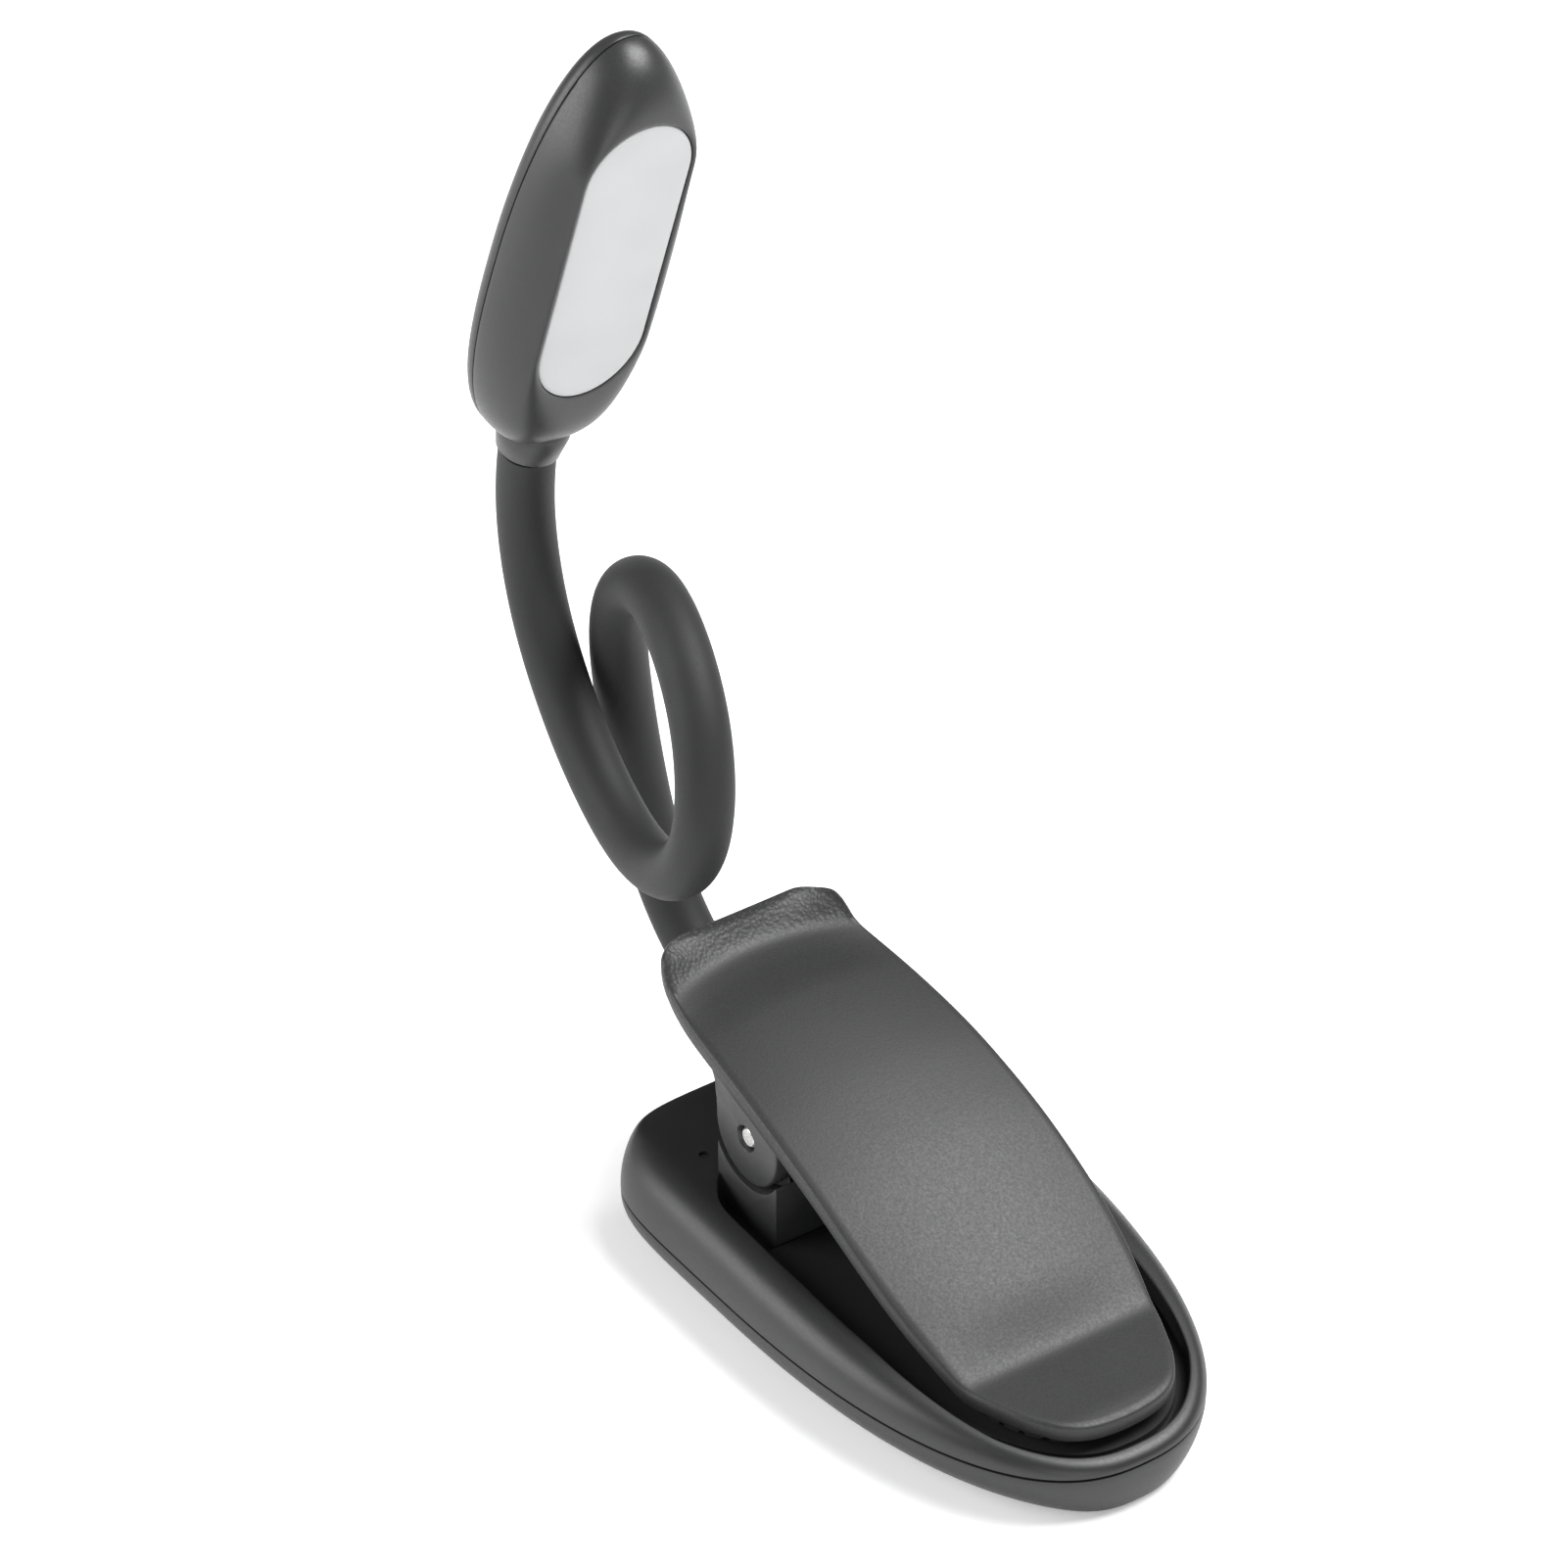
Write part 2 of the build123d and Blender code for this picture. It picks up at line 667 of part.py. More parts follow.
with BuildPart() as back_cover:
    add(head_outer)
    add(head_inner, mode=Mode.SUBTRACT)
    add(behind_seam, mode=Mode.INTERSECT)
    add(entry.part, mode=Mode.SUBTRACT)
finish(back_cover.part, "head_back_cover")

lens_edge = window(0.06, head_front - 2.3, 2.2)
lens_flange = window(-0.7, head_front - 2.7, 0.8)
with BuildPart() as diffuser:
    add(lens_edge)
    add(lens_flange)
finish(diffuser.part, "diffuser")

with BuildPart() as led_board:
    add(window(-0.4, head_front - 6.0, 1.0))
finish(led_board.part, "led_board")

with BuildPart() as leds:
    with BuildSketch(head_plane.offset(head_front - 5.0)):
        with Locations((0, window_centre)):
            with GridLocations(6.4, 6.2, 2, 6):
                Rectangle(2.8, 3.5)
    extrude(amount=0.8)
finish(leds.part, "led_chips")

with BuildPart() as reflector:
    add(window(-0.9, head_front - 4.0, 1.2))
    add(window(0.5, head_front - 5.0, 4.0), mode=Mode.SUBTRACT)
finish(reflector.part, "reflector_frame")

neck_end_dir = link_arcs[-1] % 1
with BuildPart() as head_collar:
    with BuildSketch(Plane(origin=head_origin - axis * 1.5, z_dir=axis)):
        Circle(4.5)
    with BuildSketch(Plane(origin=head_origin + axis * 3.4, z_dir=axis)):
        Circle(5.6)
    loft()
    with BuildSketch(Plane(origin=head_origin + neck_end_dir * 0.1, z_dir=-neck_end_dir)):
        Circle(sleeve_radius + 0.2)
    extrude(amount=6, mode=Mode.SUBTRACT)
    with BuildSketch(Plane(origin=head_origin - axis * 2, z_dir=axis)):
        Circle(core_radius + 0.1)
    extrude(amount=10, mode=Mode.SUBTRACT)
finish(head_collar.part, "head_collar")
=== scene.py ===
import math

import bpy
import bmesh
import numpy as np
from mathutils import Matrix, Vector


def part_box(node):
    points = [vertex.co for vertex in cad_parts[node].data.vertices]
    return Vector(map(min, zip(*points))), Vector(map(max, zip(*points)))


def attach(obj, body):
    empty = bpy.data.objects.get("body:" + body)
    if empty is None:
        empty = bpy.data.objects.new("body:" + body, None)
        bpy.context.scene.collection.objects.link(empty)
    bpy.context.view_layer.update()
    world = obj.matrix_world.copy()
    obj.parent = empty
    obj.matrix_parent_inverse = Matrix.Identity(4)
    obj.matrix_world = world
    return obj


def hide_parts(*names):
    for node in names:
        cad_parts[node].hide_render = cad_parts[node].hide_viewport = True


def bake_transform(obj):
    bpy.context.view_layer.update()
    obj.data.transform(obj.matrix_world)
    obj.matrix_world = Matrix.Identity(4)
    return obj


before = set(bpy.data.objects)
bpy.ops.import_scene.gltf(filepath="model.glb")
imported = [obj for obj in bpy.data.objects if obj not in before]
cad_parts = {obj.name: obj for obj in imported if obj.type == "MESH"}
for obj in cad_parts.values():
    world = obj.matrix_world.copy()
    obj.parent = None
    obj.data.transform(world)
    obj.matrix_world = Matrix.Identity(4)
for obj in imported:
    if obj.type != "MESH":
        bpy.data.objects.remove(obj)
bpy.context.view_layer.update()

MM = 0.001

# ------------------------------------------------------------------ driving values, in millimetres
BASE_HALF_WIDTH = 26.85
BROAD_X = -15.0
NOSE_REACH = 60.5
REAR_REACH = 30.5
NOSE_POWER = 2.4
REAR_POWER = 5.5
SEAM_Z = 7.5
SEAM_GAP = 0.28
DECK_Z = 15.5
RIM_DROP = 5.9             # how far the rim falls from the deck to the nose
RECESS_REAR = -28.2
CORNER_REACH = 29.9        # from the frame's origin to the slanted rear corners of the recess
CORNER_SLANT = (-0.555, 0.832)
FLOOR_REAR = 11.2
FLOOR_NOSE = 7.6
WALL = 1.8
PIN = np.array([-21.6, 25.3])
PIN_RADIUS = 1.5
EAR_RADIUS = 7.0
EAR_FACE_Y = 17.0
EAR_THICKNESS = 3.0
CREASE_X = -45.2           # middle of the crease between the lever's tab and its body
TAB_BOW = 2.4              # how far that crease bows back in the middle
TAB_HALF = 13.0
SLEEVE_RADIUS = 4.0
CORE_CLEAR = 2.5
NECK_ROOT = np.array([-41.5, 0.0, 16.8])
NECK_HEADING = -61.0
# length, turn in the loop's plane, yaw of that plane and sideways slope of each link
NECK_LINKS = [
    (17.6, 2.0, 0.0, 0.0),
    (21.3, 41.0, 1.0, 0.02),
    (22.3, 12.0, 4.0, 0.05),
    (30.7, 72.0, 9.0, 0.085),
    (27.5, 69.0, 13.0, 0.085),
    (23.8, 82.0, 15.0, 0.085),
    (27.8, 72.0, 15.0, 0.085),
    (20.1, 30.0, 12.0, 0.06),
    (17.7, 31.0, 8.0, 0.03),
    (19.2, 28.0, 4.0, 0.03),
]
HEAD_AXIS = np.array([0.185, 0.150, 0.970])
HEAD_FACE = np.array([0.978, 0.020, -0.200])
HEAD_START = 2.6
HEAD_LENGTH = 64.2
HEAD_WIDTH = 26.0
HEAD_FRONT = 6.9
HEAD_BACK = 5.9
HEAD_SEAM = -1.6
WINDOW_LENGTH = 44.4
WINDOW_WIDTH = 17.0
WINDOW_CENTRE = 36.0


def unit(v):
    return v / np.linalg.norm(v)


def smooth_step(x, low, high):
    t = np.clip((x - low) / (high - low), 0.0, 1.0)
    return t * t * (3 - 2 * t)


# ------------------------------------------------------------------ mesh helpers
def ring_mesh(name, rings, caps=True, loop=False, sharp=35.0, ladder=False):
    """Mesh skinned over rings of equal point count (millimetres), capped or joined end to end.

    A ladder cap joins each point to its mirror image across the ring's long axis."""
    count = len(rings[0])
    mesh = bpy.data.meshes.new(name)
    faces = []
    last = len(rings) if loop else len(rings) - 1
    for r in range(last):
        a = r * count
        b = ((r + 1) % len(rings)) * count
        for i in range(count):
            j = (i + 1) % count
            faces.append((a + i, a + j, b + j, b + i))
    if ladder:
        for start in (0, (len(rings) - 1) * count):
            faces.append((start, start + 1, start + count - 1))
            faces.append((start + count // 2 - 1, start + count // 2, start + count // 2 + 1))
            for i in range(1, count // 2 - 1):
                faces.append((start + i, start + i + 1, start + count - i - 1, start + count - i))
    elif caps and not loop:
        faces.append(tuple(range(count)))
        faces.append(tuple(range((len(rings) - 1) * count, len(rings) * count)))
    mesh.from_pydata((np.concatenate(rings) * MM).tolist(), [], faces)
    return finish_mesh(name, mesh, sharp)


def finish_mesh(name, mesh, sharp=35.0):
    """Turns faces outwards, shades the mesh smooth up to the given angle and links it."""
    work = bmesh.new()
    work.from_mesh(mesh)
    bmesh.ops.recalc_face_normals(work, faces=work.faces)
    work.to_mesh(mesh)
    work.free()
    mesh.polygons.foreach_set("use_smooth", [True] * len(mesh.polygons))
    mesh.set_sharp_from_angle(angle=math.radians(sharp))
    obj = bpy.data.objects.new(name, mesh)
    bpy.context.scene.collection.objects.link(obj)
    return obj


def spin(name, origin, direction, profile, loop=True, count=72, sharp=35.0):
    """Turned piece: profile is (distance along the axis, radius)."""
    d = unit(direction)
    u = unit(np.cross(d, [0.0, 1.0, 0.0]) if abs(d[1]) < 0.9 else np.cross(d, [1.0, 0.0, 0.0]))
    v = np.cross(d, u)
    angle = np.linspace(0, 2 * math.pi, count, endpoint=False)
    circle = np.outer(np.cos(angle), u) + np.outer(np.sin(angle), v)
    rings = [origin + d * along + circle * radius for along, radius in profile]
    return ring_mesh(name, rings, caps=not loop, loop=loop, sharp=sharp)


def rows(xy, z):
    """Ring of points from an (N, 2) outline and a height or heights."""
    return np.column_stack([xy, np.broadcast_to(z, len(xy))])


def cut(obj, tools):
    """Subtracts closed tool meshes from an object for good."""
    for tool in tools:
        change = obj.modifiers.new("cut", "BOOLEAN")
        change.operation = "DIFFERENCE"
        change.solver = "MANIFOLD"
        change.object = tool
        bpy.context.view_layer.update()
        result = bpy.data.meshes.new_from_object(obj.evaluated_get(bpy.context.evaluated_depsgraph_get()))
        obj.modifiers.clear()
        obj.data = result
        bpy.data.objects.remove(tool)
    obj.data.set_sharp_from_angle(angle=math.radians(35))
    return obj


def bevelled_copy(node, width):
    """Copy of a CAD node with its flat faces merged and its sharp edges rounded."""
    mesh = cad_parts[node].data.copy()
    work = bmesh.new()
    work.from_mesh(mesh)
    bmesh.ops.remove_doubles(work, verts=work.verts, dist=1e-6)
    bmesh.ops.dissolve_limit(work, angle_limit=math.radians(1.5), verts=work.verts, edges=work.edges)
    work.to_mesh(mesh)
    work.free()
    obj = bpy.data.objects.new(node + "_moulding", mesh)
    bpy.context.scene.collection.objects.link(obj)
    change = obj.modifiers.new("edges", "BEVEL")
    change.width = width * MM
    change.segments = 3
    change.limit_method = "ANGLE"
    change.angle_limit = math.radians(38)
    bpy.context.view_layer.update()
    result = bpy.data.meshes.new_from_object(obj.evaluated_get(bpy.context.evaluated_depsgraph_get()))
    bpy.data.objects.remove(obj)
    return finish_mesh(node + "_moulding", result, 40)


# ------------------------------------------------------------------ materials
def shader(name, roughness, metallic=0.0, specular=0.5, coat=0.0, sheen=0.0):
    material = bpy.data.materials.new(name)
    material.use_nodes = True
    nodes = material.node_tree.nodes
    nodes.clear()
    out = nodes.new("ShaderNodeOutputMaterial")
    surface = nodes.new("ShaderNodeBsdfPrincipled")
    surface.inputs["Roughness"].default_value = roughness
    surface.inputs["Metallic"].default_value = metallic
    surface.inputs["Specular IOR Level"].default_value = specular
    surface.inputs["Coat Weight"].default_value = coat
    surface.inputs["Sheen Weight"].default_value = sheen
    surface.inputs["Sheen Roughness"].default_value = 0.5
    material.node_tree.links.new(surface.outputs[0], out.inputs[0])
    where = nodes.new("ShaderNodeTexCoord")
    return material, surface, where.outputs["Object"]


def noise(material, coordinate, size, detail=3.0, rough=0.55):
    """Noise output whose features are about size millimetres across."""
    node = material.node_tree.nodes.new("ShaderNodeTexNoise")
    node.inputs["Scale"].default_value = 1 / (size * MM)
    node.inputs["Detail"].default_value = detail
    node.inputs["Roughness"].default_value = rough
    material.node_tree.links.new(coordinate, node.inputs["Vector"])
    return node.outputs["Fac"]


def spread(material, value, low, high, start=0.3, stop=0.7):
    """Maps a value from start..stop to low..high."""
    node = material.node_tree.nodes.new("ShaderNodeMapRange")
    node.inputs["From Min"].default_value = start
    node.inputs["From Max"].default_value = stop
    node.inputs["To Min"].default_value = low
    node.inputs["To Max"].default_value = high
    material.node_tree.links.new(value, node.inputs["Value"])
    return node.outputs["Result"]


def tint(material, value, first, second):
    node = material.node_tree.nodes.new("ShaderNodeMix")
    node.data_type = "RGBA"
    node.inputs["A"].default_value = (*first, 1)
    node.inputs["B"].default_value = (*second, 1)
    material.node_tree.links.new(value, node.inputs["Factor"])
    return node.outputs["Result"]


def bump(material, surface, height, depth, strength=1.0):
    node = material.node_tree.nodes.new("ShaderNodeBump")
    node.inputs["Strength"].default_value = strength
    node.inputs["Distance"].default_value = depth * MM
    material.node_tree.links.new(height, node.inputs["Height"])
    material.node_tree.links.new(node.outputs["Normal"], surface.inputs["Normal"])
    return node


def shades(colour, amount):
    return [c * (1 - amount) for c in colour], [c * (1 + amount) for c in colour]


def moulded(name, colour, roughness, grain, depth, specular=0.5, vary=0.07, coat=0.0, sheen=0.0):
    """Moulded plastic or rubber: fine grain, slow tone drift and uneven gloss."""
    material, surface, where = shader(name, roughness, specular=specular, coat=coat, sheen=sheen)
    links = material.node_tree.links
    drift = noise(material, where, 9.0, 2.0)
    fine = noise(material, where, grain, 3.0, 0.6)
    dark, light = shades(colour, vary)
    links.new(tint(material, spread(material, drift, 0.0, 1.0), dark, light), surface.inputs["Base Color"])
    links.new(spread(material, fine, roughness - 0.05, roughness + 0.05), surface.inputs["Roughness"])
    bump(material, surface, fine, depth)
    return material


def lever_plastic():
    """Fine spark grain on the body and coarse leather grain on the thumb tab, whose pebble tops carry a painted
    highlight.
    """
    material, surface, where = shader("lever_grain", 0.5, specular=0.5)
    nodes = material.node_tree.nodes
    links = material.node_tree.links

    def maths(operation, *values):
        node = nodes.new("ShaderNodeMath")
        node.operation = operation
        for slot, value in zip(node.inputs, values):
            if isinstance(value, (int, float)):
                slot.default_value = value
            else:
                links.new(value, slot)
        return node.outputs[0]

    split = nodes.new("ShaderNodeSeparateXYZ")
    links.new(where, split.inputs[0])
    squared = maths("MULTIPLY", split.outputs["Y"], split.outputs["Y"])
    bow = maths("MULTIPLY", squared, TAB_BOW / (TAB_HALF * TAB_HALF * MM))
    edge = maths("SUBTRACT", maths("SUBTRACT", split.outputs["X"], bow), CREASE_X * MM)
    on_tab = spread(material, edge, 1.0, 0.0, -0.25 * MM, 0.25 * MM)
    fine = noise(material, where, 0.42, 3.0, 0.6)
    leather = nodes.new("ShaderNodeTexVoronoi")
    leather.feature = "F1"
    leather.inputs["Scale"].default_value = 1 / (0.6 * MM)
    leather.inputs["Randomness"].default_value = 1.0
    warp = nodes.new("ShaderNodeVectorMath")
    warp.operation = "MULTIPLY_ADD"
    ripple = nodes.new("ShaderNodeTexNoise")
    ripple.inputs["Scale"].default_value = 1 / (1.1 * MM)
    links.new(where, ripple.inputs["Vector"])
    links.new(ripple.outputs["Color"], warp.inputs[0])
    warp.inputs[1].default_value = (0.6 * MM, 0.6 * MM, 0.6 * MM)
    links.new(where, warp.inputs[2])
    links.new(warp.outputs[0], leather.inputs["Vector"])
    pebbles = spread(material, leather.outputs["Distance"], 1.0, 0.0, 0.05, 0.75)
    height = nodes.new("ShaderNodeMix")
    links.new(on_tab, height.inputs["Factor"])
    links.new(maths("MULTIPLY", fine, 0.42), height.inputs["A"])
    links.new(pebbles, height.inputs["B"])
    bump(material, surface, height.outputs["Result"], 0.05)
    drift = noise(material, where, 14.0, 2.0)
    dark, light = shades((0.021, 0.0212, 0.0222), 0.06)
    body = tint(material, spread(material, drift, 0.0, 1.0), dark, light)
    # the tab's pebble tops are painted lighter than its hollows: a painted highlight on the grain's crests, with
    # painted shade between them
    pebble_highlight_mask = spread(material, pebbles, 0.0, 1.0, 0.2, 0.9)
    pebble_highlight_colour = tint(material, pebble_highlight_mask, (0.022, 0.0222, 0.023), (0.042, 0.0425, 0.0435))
    both = nodes.new("ShaderNodeMix")
    both.data_type = "RGBA"
    links.new(on_tab, both.inputs["Factor"])
    links.new(body, both.inputs["A"])
    links.new(pebble_highlight_colour, both.inputs["B"])
    links.new(both.outputs["Result"], surface.inputs["Base Color"])
    links.new(spread(material, fine, 0.44, 0.56), surface.inputs["Roughness"])
    return material


def metal(name, colour, roughness, stretch=(1, 1, 1)):
    """Worked metal: fine directional marks and small tone changes."""
    material, surface, where = shader(name, roughness, metallic=1.0)
    place = material.node_tree.nodes.new("ShaderNodeMapping")
    place.inputs["Scale"].default_value = stretch
    material.node_tree.links.new(where, place.inputs["Vector"])
    marks = noise(material, place.outputs["Vector"], 0.35, 4.0, 0.7)
    dark, light = shades(colour, 0.12)
    links = material.node_tree.links
    links.new(tint(material, marks, dark, light), surface.inputs["Base Color"])
    links.new(spread(material, marks, roughness - 0.08, roughness + 0.1), surface.inputs["Roughness"])
    bump(material, surface, marks, 0.01)
    return material


def frosted():
    """Diffuser: white, faintly speckled, a little light passes into it."""
    material, surface, where = shader("frosted_diffuser", 0.42, specular=0.45)
    surface.inputs["Subsurface Weight"].default_value = 0.25
    surface.inputs["Subsurface Radius"].default_value = (1.0, 1.0, 1.0)
    surface.inputs["Subsurface Scale"].default_value = 1.2 * MM
    speck = noise(material, where, 0.5, 3.0, 0.6)
    cloud = noise(material, where, 12.0, 1.0)
    links = material.node_tree.links
    first = tint(material, spread(material, cloud, 0.0, 1.0), (0.50, 0.505, 0.51), (0.54, 0.545, 0.55))
    links.new(first, surface.inputs["Base Color"])
    links.new(spread(material, speck, 0.38, 0.48), surface.inputs["Roughness"])
    bump(material, surface, speck, 0.008)
    return material


shell_plastic = moulded("base_plastic", (0.019, 0.0192, 0.0202), 0.42, 0.3, 0.012)
# near-black recess floor: partly a dark lining, partly painted shade for the occluded recess under the lever
recess_lining_and_painted_shade = moulded("recess_plastic_painted_shade", (0.011, 0.011, 0.0115), 0.6, 0.4, 0.02, specular=0.3)
hinge_plastic = moulded("hinge_plastic", (0.038, 0.0383, 0.0395), 0.42, 0.3, 0.008)
head_plastic = moulded("head_plastic", (0.027, 0.0273, 0.0282), 0.38, 0.35, 0.012)
collar_plastic = moulded("collar_plastic", (0.032, 0.0323, 0.033), 0.42, 0.3, 0.008)
silicone = moulded("sleeve_silicone", (0.019, 0.0192, 0.0202), 0.62, 0.22, 0.012, specular=0.35)
pad_rubber = moulded("jaw_rubber", (0.018, 0.018, 0.019), 0.75, 0.3, 0.02, specular=0.35)
lever_grain = lever_plastic()
diffuser_white = frosted()
reflector_white = moulded("reflector_white", (0.80, 0.80, 0.79), 0.3, 0.5, 0.005)
board_green = moulded("board_green", (0.03, 0.14, 0.06), 0.35, 0.6, 0.01, coat=0.4)
board_white = moulded("board_white", (0.78, 0.78, 0.77), 0.4, 0.6, 0.01)
led_yellow = moulded("led_phosphor", (0.78, 0.66, 0.22), 0.4, 0.2, 0.01)
foil = metal("battery_foil", (0.62, 0.63, 0.65), 0.35)
copper = metal("copper", (0.72, 0.42, 0.25), 0.35)
pin_steel = metal("pin_steel", (0.80, 0.79, 0.77), 0.28, (4, 0.6, 4))
dark_steel = metal("dark_steel", (0.30, 0.30, 0.31), 0.4)
spring_steel = metal("spring_steel", (0.42, 0.42, 0.43), 0.3)
core_steel = metal("core_steel", (0.35, 0.35, 0.36), 0.45)
# the light pipe is coloured near black as painted shade for the dark LED hole in the deck
pipe_painted_hole_shade = moulded("light_pipe", (0.012, 0.012, 0.013), 0.3, 0.4, 0.002)


def dress(obj, material):
    obj.data.materials.clear()
    obj.data.materials.append(material)


# ------------------------------------------------------------------ base outline
COUNT = 360
turn = np.linspace(0, 2 * math.pi, COUNT, endpoint=False)


def base_outline():
    """Outer plan outline at the seam: blunt at the rear and round at the nose."""
    c = np.cos(turn)
    s = np.sin(turn)
    reach = np.where(c >= 0, NOSE_REACH, REAR_REACH)
    power = np.where(c >= 0, NOSE_POWER, REAR_POWER)
    scale = (np.abs(c) ** power + np.abs(s) ** power) ** (-1 / power)
    return np.column_stack([BROAD_X + reach * c * scale, BASE_HALF_WIDTH * s * scale])


outline = base_outline()
along = np.roll(outline, -1, 0) - np.roll(outline, 1, 0)
outward = np.column_stack([along[:, 1], -along[:, 0]])
outward /= np.linalg.norm(outward, axis=1)[:, None]
rear_facing = np.clip(-outward[:, 0], 0, 1) ** 2
nose_facing = np.clip(outward[:, 0], 0, 1) ** 2


def inset(distance):
    """The outline pulled in along its own normals."""
    return outline - outward * np.broadcast_to(distance, COUNT)[:, None]


def top_z(x):
    """Height of the deck and of the rim, which falls away to the nose."""
    drop = np.clip(x - RECESS_REAR, 0, None)
    return DECK_Z - RIM_DROP * (drop / (NOSE_REACH + BROAD_X - 2 - RECESS_REAR)) ** 2


def floor_z(x):
    slope = (FLOOR_NOSE - FLOOR_REAR) / (NOSE_REACH + BROAD_X - RECESS_REAR)
    return FLOOR_REAR + slope * (x - RECESS_REAR)


def shoulder_inset():
    """Width of the rounded shoulder: broad along the sides, small at the rear face and the nose."""
    x = outline[:, 0]
    side = np.interp(x, [-45, -30, -3, 12, 25.7, 35, 45], [6.2, 5.7, 5.6, 4.9, 3.3, 2.2, 1.9])
    return side * (1 - rear_facing) + 1.1 * rear_facing


def pull_to_centre(ring, distance):
    size = np.linalg.norm(ring, axis=1)
    return ring * (1 - distance / size)[:, None]


def upper_shell():
    """Upper half of the base: lip, rounded shoulder, deck and the recess under the lever, hollow inside."""
    width = shoulder_inset()
    foot = SEAM_Z + 0.45
    outer = [rows(inset(0.9), SEAM_Z + SEAM_GAP), rows(inset(0.3), SEAM_Z + SEAM_GAP),
             rows(inset(0.07), SEAM_Z + SEAM_GAP + 0.07), rows(inset(0.0), foot)]
    steps = 14
    for k in range(1, steps + 1):
        angle = math.pi / 2 * k / steps
        ring = inset(width * (1 - math.cos(angle) ** 0.87))
        high = top_z(ring[:, 0])
        outer.append(rows(ring, foot + (high - foot) * math.sin(angle) ** 0.87))
    edge = outer[-1][:, :2]
    reach = np.linalg.norm(edge, axis=1)
    direction = edge / reach[:, None]
    rear = np.where(direction[:, 0] < -1e-3, RECESS_REAR / np.minimum(direction[:, 0], -1e-3), 1e4)
    slant = CORNER_SLANT[1] * np.abs(direction[:, 1]) + CORNER_SLANT[0] * direction[:, 0]
    corner = np.where(slant > 1e-3, CORNER_REACH / np.maximum(slant, 1e-3), 1e4)
    blend_power = 40.0         # the higher, the sharper the corners of the recess
    limits = (reach - 0.35) ** -blend_power + rear ** -blend_power + corner ** -blend_power
    recess = direction * (limits ** (-1 / blend_power))[:, None]
    for part in np.linspace(0, 1, 9)[1:-1]:
        ring = edge + (pull_to_centre(recess, -0.4) - edge) * part
        outer.append(rows(ring, top_z(ring[:, 0])))
    for step, fall in ((-0.4, 0.0), (-0.15, 0.05), (-0.02, 0.2), (0.0, 0.45)):
        ring = pull_to_centre(recess, step)
        outer.append(rows(ring, top_z(ring[:, 0]) - fall))
    for step, rise in ((0.25, 1.0), (0.45, 0.45), (0.85, 0.12), (1.5, 0.0)):
        ring = pull_to_centre(recess, step)
        outer.append(rows(ring, floor_z(ring[:, 0]) + rise))
    for size in (0.85, 0.6, 0.3, 0.03):
        outer.append(rows(recess * size, floor_z(recess[:, 0] * size)))
    lip = inset(WALL)
    inner = [rows(lip, SEAM_Z + SEAM_GAP)]
    limit = np.minimum(np.linalg.norm(recess, axis=1) + 1.6, np.linalg.norm(lip, axis=1) - 0.3)
    middle = direction * limit[:, None]
    room = smooth_step(np.linalg.norm(lip - middle, axis=1), 1.0, 5.0)
    for part in (0.35, 1.0):
        ring = lip + (middle - lip) * part
        inner.append(rows(ring, SEAM_Z + 0.5 + (top_z(ring[:, 0]) - 2.2 - SEAM_Z) * room))
    for size in (0.985, 0.6, 0.3, 0.03):
        ring = middle * size
        inner.append(rows(ring, np.maximum(SEAM_Z + 0.4, floor_z(ring[:, 0]) - 1.5)))
    rings = outer[::-1] + inner
    return ring_mesh("base_upper_moulding", rings, sharp=40)


def lower_shell():
    """Lower half of the base: a shallow hollow hull that closes on the seam."""
    width = 9.0 * (1 - rear_facing) * (1 - nose_facing) + 4.0 * rear_facing + 2.2 * nose_facing
    top = SEAM_Z - 0.35
    outer = [rows(inset(0.9), SEAM_Z), rows(inset(0.32), SEAM_Z), rows(inset(0.1), SEAM_Z - 0.08),
             rows(inset(0.03), top)]
    steps = 16
    for k in range(1, steps + 1):
        angle = math.pi / 2 * k / steps
        outer.append(rows(inset(0.03 + width * (1 - math.cos(angle))), top * (1 - math.sin(angle))))
    flat = outer[-1][:, :2]
    outer += [rows(flat * size, 0.0) for size in (0.97, 0.6, 0.3, 0.03)]
    inner = [rows(inset(WALL), SEAM_Z)]
    for k in range(1, 9):
        angle = math.pi / 2 * k / 8
        ring = inset(WALL + width * (1 - math.cos(angle)))
        inner.append(rows(ring, WALL + (SEAM_Z - WALL) * (1 - math.sin(angle))))
    inner += [rows(inner[-1][:, :2] * size, WALL) for size in (0.6, 0.3, 0.03)]
    return ring_mesh("base_lower_moulding", outer[::-1] + inner, sharp=40)


def drill(x, y, low, high, radius, count=40):
    """Closed upright cylinder to cut a round hole with."""
    straight_up = np.array([0.0, 0.0, 1.0])
    return spin("drill", np.array([x, y, low]), straight_up, [(0, radius), (high - low, radius)], loop=False, count=count)


def port_cutter():
    """Slot with round ends for the charging socket, cut through the rear wall."""
    low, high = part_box("charging_port")
    y, z = (low.y + high.y) / 2 / MM, (low.z + high.z) / 2 / MM
    half = (high.z - low.z) / 2 / MM + 0.15
    straight = (high.y - low.y) / 2 / MM + 0.15 - half
    angle = np.linspace(0, 2 * math.pi, 40, endpoint=False)
    across = half * np.cos(angle) + straight * np.sign(np.cos(angle))
    shape = np.column_stack([y + across, z + half * np.sin(angle)])
    rings = [np.column_stack([np.full(40, x), shape]) for x in (-50.0, -39.0)]
    return ring_mesh("slot", rings)


upper = upper_shell()
led_low, led_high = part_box("indicator_light_pipe")
led_x = (led_low.x + led_high.x) / 2 / MM
led_y = (led_low.y + led_high.y) / 2 / MM
cut(upper, [drill(led_x, led_y, 12.0, 17.0, 0.75), port_cutter()])
dress(upper, shell_plastic)
upper.data.materials.append(recess_lining_and_painted_shade)
